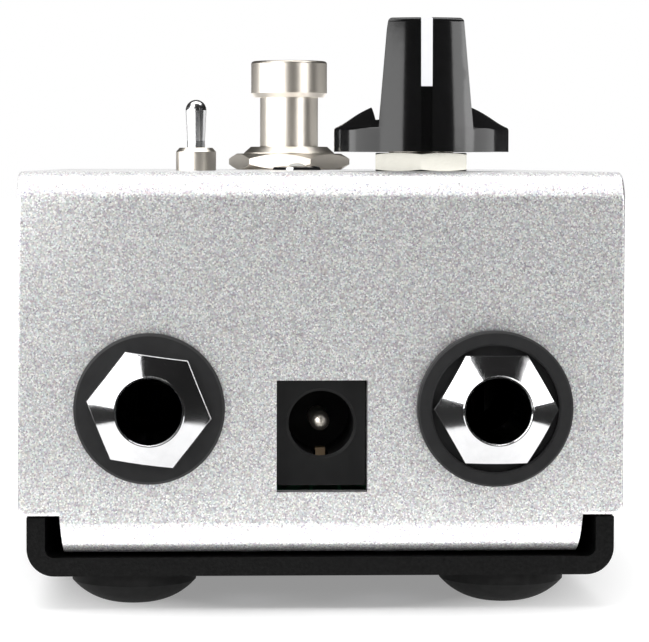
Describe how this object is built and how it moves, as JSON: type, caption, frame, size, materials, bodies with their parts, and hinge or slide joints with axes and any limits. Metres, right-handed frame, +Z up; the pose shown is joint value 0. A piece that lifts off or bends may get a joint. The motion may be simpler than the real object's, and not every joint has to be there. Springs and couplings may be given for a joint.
{
  "type": "guitar effects pedal",
  "caption": "Compact guitar effects pedal: silver folded cover on a black folded base, jack panel, pointer knob, mini toggle, status light and latching footswitch.",
  "frame": {"origin": "bottom centre of the whole pedal's box, on the surface that the rubber feet stand on", "axes": "+Z up, -Y out of the jack panel, +Y towards the footswitch end, +X to the right when looking at the jack panel"},
  "size_m": [0.0612, 0.1162, 0.0607],
  "materials": {
    "silver_paint": "silver metallic powder coat, fine sparkle",
    "black_paint": "black fine-textured powder coat",
    "foot_rubber": "matte black",
    "chrome_plate": "polished",
    "nickel_plate": "bright nickel",
    "zinc_steel": "zinc plated, satin",
    "spring_steel": "bright",
    "brass_metal": "bright",
    "washer_plastic": "matte dark grey",
    "jack_plastic": "matte black",
    "switch_plastic": "matte blue",
    "knob_plastic": "gloss black",
    "line_paint": "white paint",
    "circuit_board": "green solder mask",
    "chip_plastic": "matte black",
    "capacitor_sleeve": "dark blue sleeve",
    "film_plastic": "red",
    "resistor_coat": "tan lacquer",
    "lens_plastic": "clear diffused",
    "cable_plastic": "grey"
  },
  "bodies": {
    "enclosure": {"amplifier_chips": "chip_plastic", "base_screws": "zinc_steel", "base_shell": "black_paint", "board_header": "chip_plastic", "board_screws": "zinc_steel", "board_socket": "chip_plastic", "board_standoffs": "zinc_steel", "clinch_nuts": "zinc_steel", "control_board": "circuit_board", "cover_end_panel": "silver_paint", "cover_jack_panel": "silver_paint", "cover_tongues": "silver_paint", "cover_top": "silver_paint", "electrolytic_capacitors": "capacitor_sleeve", "film_capacitors": "film_plastic", "footswitch_bushing": "nickel_plate", "footswitch_case": "switch_plastic", "footswitch_frame": "zinc_steel", "footswitch_lock_nut": "nickel_plate", "footswitch_lugs": "spring_steel", "footswitch_nut": "nickel_plate", "footswitch_spring": "spring_steel", "footswitch_tooth_washer": "spring_steel", "input_jack_body": "jack_plastic", "input_jack_contacts": "spring_steel", "input_jack_nut": "chrome_plate", "input_jack_pins": "spring_steel", "input_jack_washer": "washer_plastic", "light_bezel": "chrome_plate", "light_leads": "spring_steel", "light_lens": "lens_plastic", "main_board": "circuit_board", "output_jack_body": "jack_plastic", "output_jack_contacts": "spring_steel", "output_jack_nut": "chrome_plate", "output_jack_pins": "spring_steel", "output_jack_washer": "washer_plastic", "pot_bushing": "nickel_plate", "pot_case": "zinc_steel", "pot_nut": "nickel_plate", "pot_seat_washer": "zinc_steel", "pot_terminals": "spring_steel", "power_jack_body": "jack_plastic", "power_jack_pin": "nickel_plate", "power_jack_spring": "spring_steel", "resistors": "resistor_coat", "ribbon_cable": "cable_plastic", "rubber_feet": "foot_rubber", "switch_board": "circuit_board", "toggle_body": "switch_plastic", "toggle_bushing": "nickel_plate", "toggle_terminals": "spring_steel"},
    "knob": {"control_knob": "knob_plastic", "knob_line": "line_paint", "knob_set_screw": "brass_metal", "pot_shaft": "nickel_plate", "pot_rotor": "chip_plastic"},
    "toggle": {"toggle_lever": "chrome_plate"},
    "foot_button": {"footswitch_plunger": "nickel_plate"}
  },
  "joints": [
    {"name": "knob_turn", "type": "hinge", "parent": "enclosure", "child": "knob", "pos_m": [0.01193, -0.0309, 0.0444], "axis": [0, 0, 1], "range_deg": [-150, 150]},
    {"name": "toggle_flip", "type": "hinge", "parent": "enclosure", "child": "toggle", "pos_m": [-0.0125, -0.0139, 0.0448], "axis": [1, 0, 0], "range_deg": [-12.5, 12.5]},
    {"name": "footswitch_press", "type": "slide", "parent": "enclosure", "child": "foot_button", "axis": [0, 0, -1], "range_m": [0, 0.0025], "stiffness_N_per_m": 6000, "springref_m": -0.001, "deforming": ["footswitch_spring"]}
  ]
}
